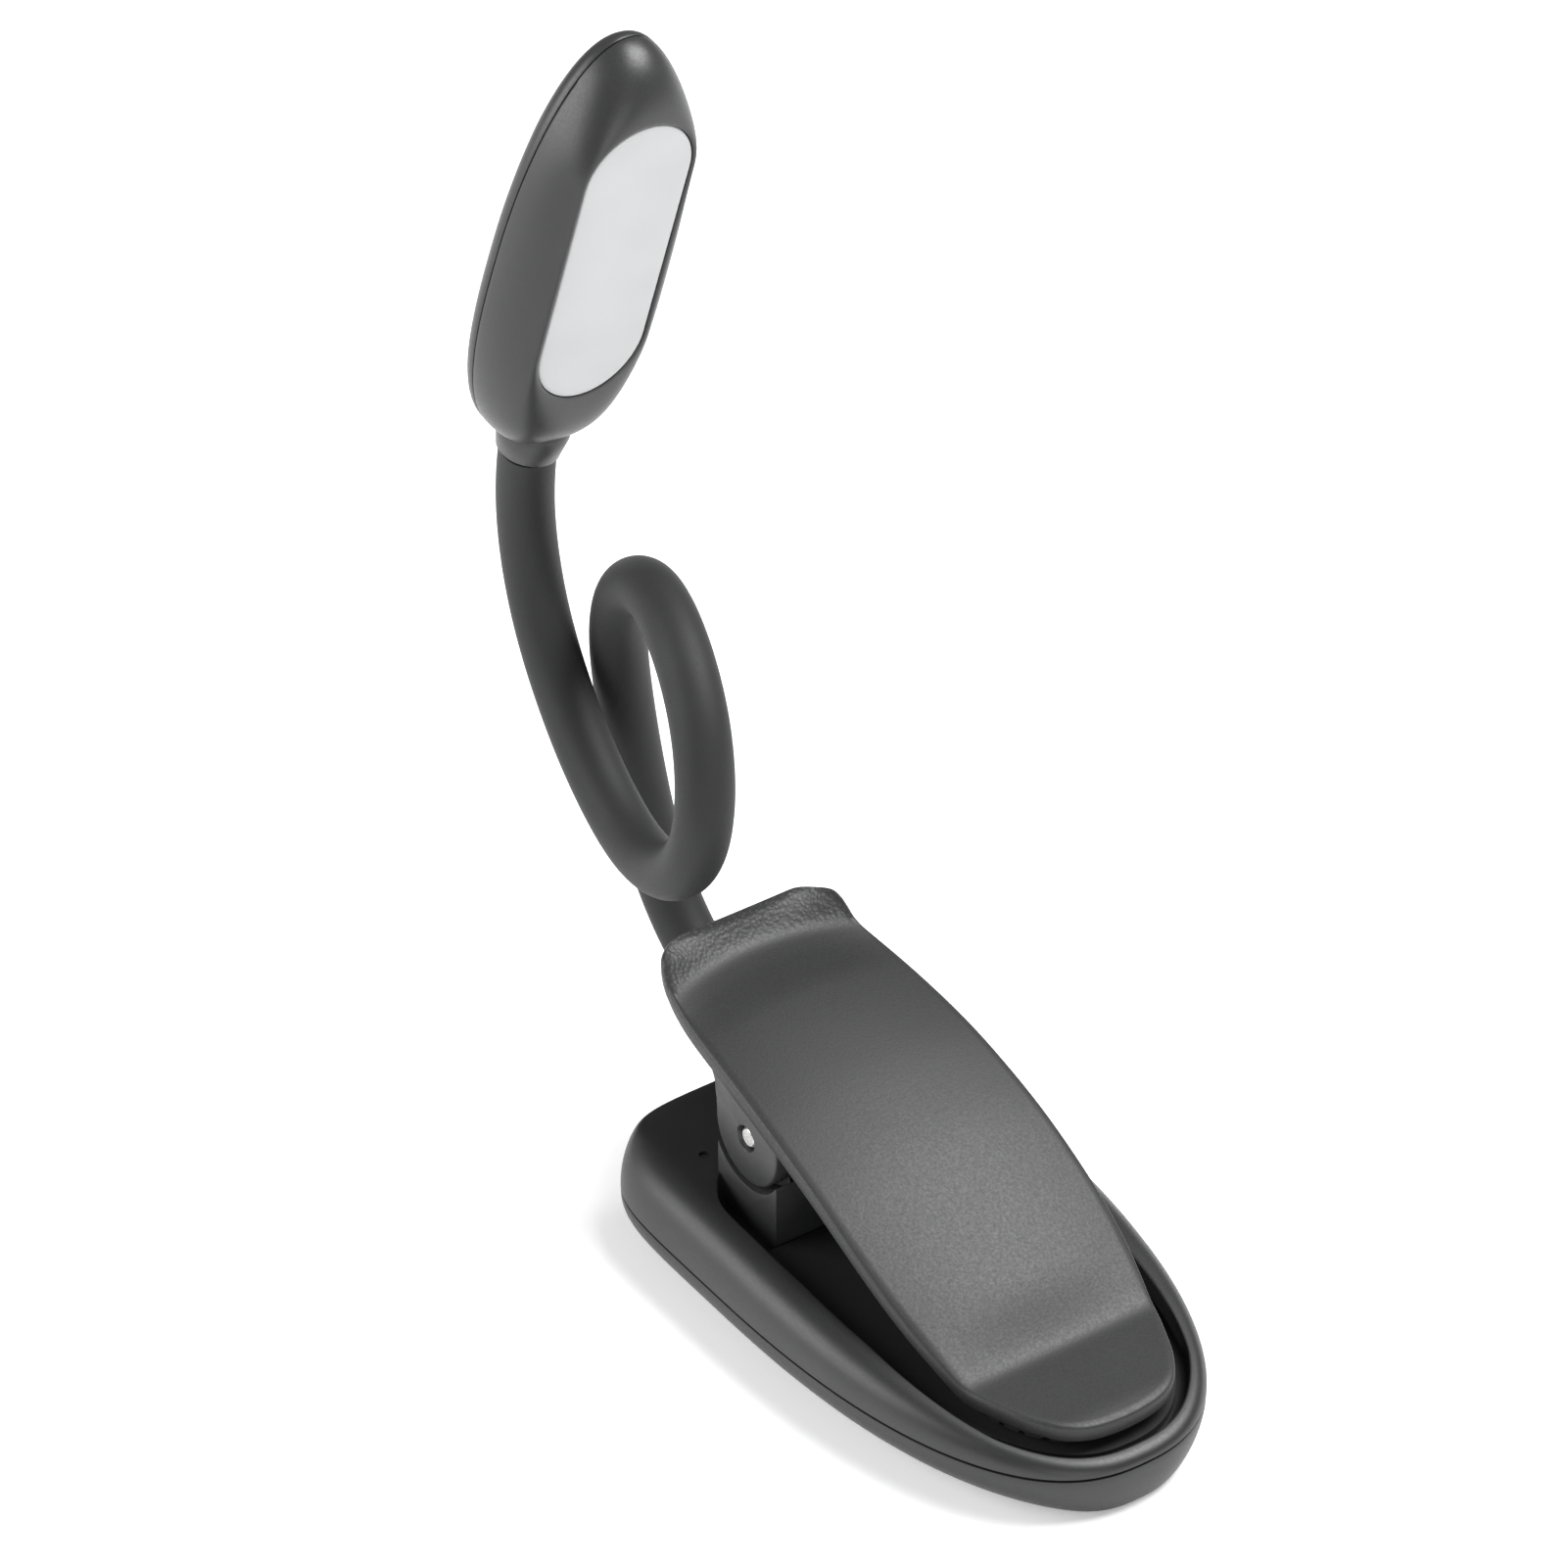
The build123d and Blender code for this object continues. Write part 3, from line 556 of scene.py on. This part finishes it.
# faces deep in the recess take the near-black colour: painted shade of the occluded floor on top of its dark lining
for face in upper.data.polygons:
    centre = face.center / MM
    deep = centre.z < top_z(np.array(centre.x)) - 0.9
    outside = abs(centre.y) > BASE_HALF_WIDTH or centre.x < RECESS_REAR - 1.0
    inside = np.linalg.norm([centre.x, centre.y]) < 22 or face.normal.z > 0.8
    if deep and not outside and inside and centre.x > RECESS_REAR - 0.4:
        face.material_index = 1
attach(upper, "base")
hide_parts("base_upper_shell")

lower = lower_shell()
screws = []
for node in ("case_screws", "hinge_block_screws"):
    spots = np.array([v.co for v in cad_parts[node].data.vertices]) / MM
    for side in (-1, 1):
        for front in (False, True):
            chosen = spots[(np.sign(spots[:, 1]) == side) & ((spots[:, 0] > 0) == front)]
            if len(chosen):
                screws.append((chosen.min(axis=0) + chosen.max(axis=0))[:2] / 2)
cut(lower, [drill(x, y, -1.0, 1.7, 2.4) for x, y in screws])
dress(lower, shell_plastic)
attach(lower, "base")
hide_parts("base_lower_shell")

# ------------------------------------------------------------------ hood and collar at the neck's root
neck_angle = math.radians(NECK_HEADING)
neck_dir = np.array([math.sin(neck_angle), 0.0, math.cos(neck_angle)])
hood = spin("neck_hood", NECK_ROOT, neck_dir,
            [(-12.0, 7.0), (-0.4, 7.0), (0.1, 6.85), (0.45, 6.5), (0.5, 6.1), (0.3, 5.7), (-0.6, 5.55),
             (-3.5, 5.5), (-3.5, 5.2), (-12.0, 5.2)], sharp=50)
dress(hood, shell_plastic)
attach(hood, "base")
root_collar = spin("neck_root_collar", NECK_ROOT, neck_dir,
                   [(-5.0, 5.15), (1.2, 5.15), (1.9, 5.05), (2.6, 4.75), (3.0, 4.4), (3.05, 4.2), (2.9, 4.06),
                    (-5.0, 4.06)], sharp=50)
dress(root_collar, collar_plastic)
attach(root_collar, "base")
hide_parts("neck_collar")

# ------------------------------------------------------------------ hinge block
block = bevelled_copy("hinge_block", 0.28)
dress(block, hinge_plastic)
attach(block, "base")
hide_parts("hinge_block")

# ------------------------------------------------------------------ lever
LEVER_REAR = -48.8
CORNER = 6.3
CORNER_Y = 15.1
# the lever's half-width, then its height on the centre line, each against the distance along the base
LEVER_SIDE = [(-42.5, 15.1), (-33.9, 16.4), (-17.0, 17.7), (2.0, 18.2), (15.0, 17.6), (26.0, 15.5),
              (32.0, 13.4), (36.0, 11.5), (39.4, 8.9), (41.2, 5.4), (41.8, 0.0)]
LEVER_RISE = [(-54.0, 43.4), (-48.8, 39.4), (-46.3, 36.9), (-45.2, 35.9), (-43.7, 35.4), (-40.2, 34.8),
              (-36.3, 34.3), (-28.9, 33.8), (-16.75, 31.6), (-3.0, 27.6), (10.0, 22.0), (20.0, 17.3),
              (25.2, 14.6), (26.6, 14.15), (39.5, 13.9), (44.0, 13.2)]


def catmull(points, steps=14):
    """Smooth curve through points, with mirrored neighbours at the ends."""
    p = np.array(points, float)
    p = np.vstack([2 * p[0] - p[1], p, p[-2] * [1, -1]])
    out = []
    for i in range(1, len(p) - 2):
        for t in np.linspace(0, 1, steps, endpoint=False):
            a, b, c, d = p[i - 1:i + 3]
            out.append(0.5 * (2 * b + (c - a) * t + (2 * a - 5 * b + 4 * c - d) * t ** 2
                              + (3 * b - 3 * c + d - a) * t ** 3))
    out.append(p[-2])
    return np.array(out)


def resample(curve, count):
    """Closed curve with evenly spaced points."""
    closed = np.vstack([curve, curve[:1]])
    length = np.concatenate([[0], np.cumsum(np.linalg.norm(np.diff(closed, axis=0), axis=1))])
    at = np.linspace(0, length[-1], count, endpoint=False)
    return np.column_stack([np.interp(at, length, closed[:, k]) for k in range(2)])


def lever_plan():
    """Plan outline of the lever, from the middle of its rear edge round to the tip and back."""
    centre = np.array([LEVER_REAR + CORNER, CORNER_Y - CORNER])
    quarter = np.linspace(0, math.pi / 2, 12)[:-1]
    arc = centre + CORNER * np.column_stack([-np.cos(quarter), np.sin(quarter)])
    upper_half = np.vstack([[[LEVER_REAR, 0.0]], arc, catmull(LEVER_SIDE)])
    lower_half = upper_half[1:-1][::-1] * [1, -1]
    return resample(np.vstack([upper_half, lower_half]), 400)


rise_x = np.arange(-54.0, 46.0, 0.2)
rise_z = np.interp(rise_x, *np.array(LEVER_RISE).T)


def softened(values, width):
    """Values along the lever smoothed over a width in millimetres."""
    reach = 60
    kernel = np.exp(-(np.arange(-reach, reach + 1) * 0.2 / width) ** 2 / 2)
    ends_in = np.pad(values, reach, mode="reflect", reflect_type="odd")
    return np.convolve(ends_in, kernel / kernel.sum(), mode="valid")


in_body = smooth_step(rise_x, -41.0, -33.0) * (1 - smooth_step(rise_x, 13.0, 20.0))
rise_z = softened(rise_z, 0.8) * (1 - in_body) + softened(rise_z, 4.0) * in_body


def half_width(x):
    side = catmull(LEVER_SIDE)
    return np.interp(x, side[:, 0], side[:, 1])


def lever_z(xy):
    """Height of the lever's top face: the side profile, crowned across the middle."""
    near_crease = smooth_step(xy[:, 0], -49.5, -45.0) * (1 - smooth_step(xy[:, 0], -42.0, -26.0))
    bow = TAB_BOW * (xy[:, 1] / TAB_HALF) ** 2 * near_crease
    shifted = xy[:, 0] - bow
    crown = 1.5 * smooth_step(shifted, -46.0, -32.0) * (1 - smooth_step(xy[:, 0], 16.0, 27.0))
    across = 1 - np.minimum(xy[:, 1] / np.maximum(half_width(xy[:, 0]), 6.0), 1.0) ** 2
    return np.interp(shifted, rise_x, rise_z) + crown * across


def lever_mesh():
    """The lever's sheet: crowned top, rounded edge, short skirt and hollow underside."""
    plan = lever_plan()
    tangent = np.roll(plan, -1, 0) - np.roll(plan, 1, 0)
    normal = np.column_stack([tangent[:, 1], -tangent[:, 0]])
    normal /= np.linalg.norm(normal, axis=1)[:, None]
    normal *= np.sign((normal * (plan - [-4, 0])).sum())
    spine = np.column_stack([np.clip(plan[:, 0], LEVER_REAR + 12, 28.0), np.zeros(len(plan))])
    edge_z = lever_z(plan)

    def pulled(distance):
        return plan - normal * distance

    top = []
    core = pulled(0.9)
    for part in np.linspace(0.02, 1, 34)[:-1]:
        ring = spine + (core - spine) * part
        top.append(rows(ring, lever_z(ring)))
    top.append(rows(core, lever_z(core)))
    for step, fall in ((0.5, 0.04), (0.25, 0.14), (0.07, 0.34), (0.0, 0.6)):
        ring = pulled(step)
        top.append(rows(ring, edge_z - fall))
    under = [rows(pulled(step), edge_z - fall) for step, fall in
             ((0.0, 2.2), (0.1, 2.4), (0.3, 2.5), (1.1, 2.5), (1.3, 2.4), (1.4, 1.8))]
    hollow = pulled(1.8)
    for part in np.linspace(1, 0.03, 16):
        ring = spine + (hollow - spine) * part
        under.append(rows(ring, lever_z(ring) - 1.6))
    return ring_mesh("lever_moulding", top + under, sharp=42, ladder=True)


lever = lever_mesh()
dress(lever, lever_grain)
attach(lever, "lever")
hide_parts("lever")


def ear_reach(angle):
    """Distance from the pin to the ear's edge: round below, flared up into the lever at the rear."""
    side = EAR_RADIUS
    corners = np.array([[-side, 0.0], [-side - 0.1, 2.6], [-side - 0.8, 4.8], [-side - 2.2, 6.6],
                        [-side - 2.3, 7.2], [-side + 1, 6.9], [0.0, 5.6], [side - 1, 3.6], [side, 2.6],
                        [side, 0.0]])
    result = np.full(len(angle), side)
    for i, a in enumerate(angle):
        d = np.array([math.cos(a), math.sin(a)])
        if d[1] < 1e-6:
            continue
        for p, q in zip(corners[:-1], corners[1:]):
            e = q - p
            det = d[0] * -e[1] + d[1] * e[0]
            if abs(det) < 1e-9:
                continue
            r = (p[0] * -e[1] + p[1] * e[0]) / det
            s = (d[0] * p[1] - d[1] * p[0]) / det
            if r > 0 and -1e-9 <= s <= 1 + 1e-9:
                result[i] = r
    return result


def ear(name, side):
    """One cheek of the lever round the hinge pin, tucked in under the lever's edge."""
    angle = np.linspace(0, 2 * math.pi, 144, endpoint=False)
    reach = ear_reach(angle)
    direction = np.column_stack([np.cos(angle), np.sin(angle)])

    def ring(radius, depth):
        flat = PIN + direction * np.broadcast_to(radius, len(angle))[:, None]
        under_lip = EAR_FACE_Y - np.minimum(half_width(flat[:, 0]) - 0.25, EAR_FACE_Y)
        tuck = under_lip * smooth_step(flat[:, 1], 27.0, 31.0)
        return np.column_stack([flat[:, 0], side * (EAR_FACE_Y - np.maximum(depth, tuck)), flat[:, 1]])

    hole = PIN_RADIUS + 0.42
    rings = [ring(hole, EAR_THICKNESS), ring(reach - 0.3, EAR_THICKNESS), ring(reach, EAR_THICKNESS - 0.3),
             ring(reach, 0.35), ring(reach - 0.1, 0.12), ring(reach - 0.35, 0.0), ring(hole + 0.12, 0.0),
             ring(hole, 0.12), ring(hole, 1.0)]
    obj = ring_mesh(name, rings, loop=True, sharp=45)
    dress(obj, hinge_plastic)
    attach(obj, "lever")


ear("lever_ear_left", -1)
ear("lever_ear_right", 1)


# ------------------------------------------------------------------ neck
def neck_line():
    """Centre line of the neck, the direction along it, and where each link ends."""
    place = NECK_ROOT.copy()
    heading = neck_angle
    points = [place - neck_dir * 3.0]
    ends = []
    for length, bend, yaw, slope in NECK_LINKS:
        ahead = np.array([math.cos(math.radians(yaw)), -math.sin(math.radians(yaw)), 0.0])
        aside = np.array([math.sin(math.radians(yaw)), math.cos(math.radians(yaw)), 0.0])
        steps = max(12, round(length / 0.8))
        step = length / steps / math.hypot(1, slope)
        for i in range(steps):
            angle = heading + math.radians(bend) * (i + 0.5) / steps
            points.append(place)
            place = place + (ahead * math.sin(angle) + [0, 0, math.cos(angle)] - aside * slope) * step
        heading += math.radians(bend)
        ends.append(len(points))
    points.append(place)
    line = np.array(points)
    smooth = line.copy()
    for _ in range(40):
        smooth[2:-2] = 0.5 * smooth[2:-2] + 0.25 * (smooth[1:-3] + smooth[3:-1])
    return smooth, ends


line, ends = neck_line()
forward = np.gradient(line, axis=0)
forward /= np.linalg.norm(forward, axis=1)[:, None]
up = np.zeros_like(line)
up[0] = np.cross(forward[0], [0.0, 1.0, 0.0])
for i in range(1, len(line)):
    up[i] = unit(up[i - 1] - forward[i] * up[i - 1].dot(forward[i]))
side_dir = np.cross(forward, up)
circle = np.linspace(0, 2 * math.pi, 56, endpoint=False)


def tube_ring(i, radius):
    return line[i] + radius * (np.outer(np.cos(circle), up[i]) + np.outer(np.sin(circle), side_dir[i]))


middles = [0] + [(ends[k - 1] + ends[k]) // 2 for k in range(1, 9)] + [len(line) - 1]
for k in range(9):
    first, last = middles[k], middles[k + 1]
    outer = [tube_ring(i, SLEEVE_RADIUS) for i in range(first, last + 1)]
    inner = [tube_ring(i, CORE_CLEAR) for i in range(last, first - 1, -1)]
    piece = ring_mesh(f"neck_skin_{k + 1:02d}", outer + inner, loop=True, sharp=60)
    dress(piece, silicone)
    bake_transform(piece)
    if k < 8:
        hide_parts(f"neck_sleeve_{k + 1:02d}")
    else:
        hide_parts("neck_sleeve_09", "neck_sleeve_10")

# ------------------------------------------------------------------ head
head_origin = line[-1]
axis = unit(HEAD_AXIS)
face = unit(HEAD_FACE - axis * HEAD_FACE.dot(axis))
sideways = np.cross(axis, face)
HEAD_COUNT = 200
around = np.linspace(0, 2 * math.pi, HEAD_COUNT, endpoint=False)


def in_head(flat, depth):
    """Points from (across, along) pairs and a distance towards the face."""
    depth = np.broadcast_to(depth, len(flat))
    return (head_origin + np.outer(flat[:, 0], sideways) + np.outer(flat[:, 1], axis) + np.outer(depth, face))


def head_plan():
    """Long egg, fuller at the lower end."""
    c = np.cos(around)
    s = np.sin(around)
    power = np.where(s > 0, 2.1, 2.6)
    scale = (np.abs(c) ** power + np.abs(s) ** power) ** (-1 / power)
    tall = HEAD_LENGTH / 2 * s * scale
    taper = 1 - 0.07 * tall / (HEAD_LENGTH / 2)
    return np.column_stack([HEAD_WIDTH / 2 * c * scale * taper, HEAD_START + HEAD_LENGTH / 2 + tall])


def window_plan(grow=0.0):
    """Stadium of the diffuser, its points matched to the head's outline by direction."""
    half = WINDOW_WIDTH / 2 + grow
    straight = (WINDOW_LENGTH - WINDOW_WIDTH) / 2
    dense = []
    for a in np.linspace(0, 2 * math.pi, 720, endpoint=False):
        dense.append((half * math.cos(a), half * math.sin(a) + math.copysign(straight, math.sin(a))))
    dense = resample(np.array(dense), 1600)
    centre = np.array([0.0, WINDOW_CENTRE])
    aim = head_plan() - centre
    aim_angle = np.unwrap(np.arctan2(aim[:, 1], aim[:, 0]))
    angle = np.unwrap(np.arctan2(dense[:, 1], dense[:, 0]))
    order = np.argsort(angle % (2 * math.pi))
    table = (angle % (2 * math.pi))[order]
    return centre + np.column_stack([
        np.interp(aim_angle % (2 * math.pi), table, dense[order, k], period=2 * math.pi) for k in range(2)])


plan = head_plan()
hole = window_plan(0.0)


def between(inner, outer, part):
    return inner + (outer - inner) * part


def front_shell():
    """Front of the head: flanks that rise from the seam to the diffuser's window, blunt at the neck."""
    rim = window_plan(0.55)
    rings = [in_head(between(hole, plan, part), HEAD_SEAM + rise) for part, rise in
             ((0.8, 0.12), (0.975, 0.12), (0.995, 0.2), (1.0, 0.45))]
    foot = HEAD_SEAM + 0.45
    blunt = smooth_step(-np.sin(around), 0.5, 0.95)
    steps = 18
    for k in range(1, steps):
        angle = math.pi / 2 * k / steps
        outwards = math.cos(angle) ** (1.3 - 0.6 * blunt)
        depth = foot + (HEAD_FRONT - foot) * math.sin(angle) ** (1.05 - 0.3 * blunt)
        rings.append(in_head(between(rim, plan, outwards[:, None]), depth))
    rings += [in_head(window_plan(grow), HEAD_FRONT - fall) for grow, fall in
              ((0.55, 0.0), (0.25, 0.02), (0.1, 0.12), (0.05, 0.5), (0.05, 1.6), (1.6, 2.6))]
    rings.append(in_head(between(hole, plan, 0.72), 1.0))
    return ring_mesh("head_front_moulding", rings, loop=True, sharp=40)


def back_cover():
    """Back of the head: a shallow dome with a lip at the seam."""
    spine = np.clip(plan[:, 1], HEAD_START + 14, HEAD_START + HEAD_LENGTH - 14)
    middle = np.column_stack([np.zeros(HEAD_COUNT), spine])
    rings = [in_head(between(middle, plan, part), HEAD_SEAM - fall) for part, fall in
             ((0.8, 0.0), (0.975, 0.0), (0.993, 0.08), (0.998, 0.3))]
    depth = HEAD_BACK + HEAD_SEAM - 0.3
    steps = 16
    for k in range(1, steps + 1):
        angle = math.pi / 2 * k / steps
        rings.append(in_head(between(middle, plan, 0.998 - 0.62 * (1 - math.cos(angle) ** 0.9)),
                             HEAD_SEAM - 0.3 - depth * math.sin(angle) ** 0.9))
    rings.append(in_head(between(middle, plan, 0.03), -HEAD_BACK))
    inside = [in_head(between(middle, plan, part), depth) for part, depth in
              ((0.03, -HEAD_BACK + 1.4), (0.45, -HEAD_BACK + 1.4), (0.78, -HEAD_BACK + 2.8), (0.8, HEAD_SEAM - 0.4))]
    quarter = HEAD_COUNT // 4
    chain = [np.roll(ring, quarter, axis=0) for ring in rings[::-1] + inside[::-1]]
    return ring_mesh("head_back_moulding", chain, sharp=40, ladder=True)


front = front_shell()
dress(front, head_plastic)
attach(front, "head")
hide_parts("head_front_shell")
back = back_cover()
dress(back, head_plastic)
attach(back, "head")
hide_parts("head_back_cover")

window_middle = np.array([0.0, WINDOW_CENTRE])
lens_rings = [in_head(between(window_middle, window_plan(-0.05), part), HEAD_FRONT - 0.10) for part in
              (0.03, 0.4, 0.8, 0.96)]
lens_rings += [in_head(window_plan(-0.2), HEAD_FRONT - 0.12), in_head(window_plan(-0.06), HEAD_FRONT - 0.2),
               in_head(window_plan(-0.02), HEAD_FRONT - 0.4), in_head(window_plan(-0.02), HEAD_FRONT - 1.6)]
lens_rings += [in_head(between(window_middle, window_plan(-0.4), part), HEAD_FRONT - 1.6) for part in
               (0.9, 0.5, 0.03)]
lens = ring_mesh("diffuser_lens", lens_rings, sharp=50)
dress(lens, diffuser_white)
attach(lens, "head")
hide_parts("diffuser")

collar = spin("head_neck_collar", head_origin, axis,
              [(-0.3, 4.06), (-0.35, 4.25), (-0.2, 4.4), (3.2, 5.1), (4.4, 4.9), (5.6, 4.0), (5.6, 2.6),
               (0.3, 2.6), (0.3, 4.06)], sharp=50)
dress(collar, collar_plastic)
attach(collar, "head")
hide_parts("head_collar")

# ------------------------------------------------------------------ CAD nodes that stay
KEPT = {
    "base_jaw_pad": pad_rubber, "lever_jaw_pad": pad_rubber, "hinge_pin": pin_steel,
    "torsion_spring": spring_steel,
    "battery_cell": foil, "control_board": board_green, "charging_port": pin_steel, "touch_electrode": copper,
    "indicator_light_pipe": pipe_painted_hole_shade, "indicator_led": led_yellow, "case_screws": dark_steel,
    "hinge_block_screws": dark_steel, "neck_ferrule": copper, "reflector_frame": reflector_white,
    "led_board": board_white, "led_chips": led_yellow,
}
for k in range(1, 11):
    KEPT[f"neck_core_{k:02d}"] = core_steel
for node, material in KEPT.items():
    dress(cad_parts[node], material)

# ------------------------------------------------------------------ floor, lights and camera
floor_mesh = bpy.data.meshes.new("floor")
floor_mesh.from_pydata([(-12, -12, 0), (12, -12, 0), (12, 12, 0), (-12, 12, 0)], [], [(0, 1, 2, 3)])
floor = bpy.data.objects.new("floor", floor_mesh)
bpy.context.scene.collection.objects.link(floor)
pale_floor = moulded("pale_floor", (0.90, 0.90, 0.90), 0.9, 4.0, 0.002, specular=0.1, vary=0.005)
for node in pale_floor.node_tree.nodes:
    if node.type == "BSDF_PRINCIPLED":
        node.inputs["Emission Color"].default_value = (1, 1, 1, 1)
        node.inputs["Emission Strength"].default_value = 0.3
floor.data.materials.append(pale_floor)


def softbox(name, place, aim, size, power, colour=(1, 1, 1)):
    light = bpy.data.lights.new(name, "AREA")
    light.shape = "RECTANGLE"
    light.size, light.size_y = size
    light.energy = power
    light.color = colour
    obj = bpy.data.objects.new(name, light)
    bpy.context.scene.collection.objects.link(obj)
    obj.location = place
    obj.rotation_euler = (Vector(aim) - Vector(place)).to_track_quat("-Z", "Y").to_euler()


softbox("overhead", (0.16, 0.52, 1.05), (0, 0, 0.05), (0.7, 0.7), 20)
softbox("left_window", (-0.65, -1.05, 0.60), (0, 0, 0.05), (0.9, 0.9), 14)
softbox("front_fill", (0.95, -0.35, 0.30), (0, 0, 0.05), (0.7, 0.5), 2.5)

world = bpy.data.worlds.new("studio")
bpy.context.scene.world = world
world.use_nodes = True
world.node_tree.nodes["Background"].inputs["Color"].default_value = (1, 1, 1, 1)
world.node_tree.nodes["Background"].inputs["Strength"].default_value = 0.2

camera = bpy.data.cameras.new("camera")
camera.sensor_width = 36
camera.lens = 185.29
camera.clip_start = 0.05
camera.clip_end = 20
camera_object = bpy.data.objects.new("camera", camera)
bpy.context.scene.collection.objects.link(camera_object)
camera_object.location = (0.67147, -0.49248, 0.69975)
camera_object.rotation_euler = (math.radians(53.7723), 0, math.radians(55.2))
bpy.context.scene.camera = camera_object
bpy.context.scene.view_settings.view_transform = "Standard"
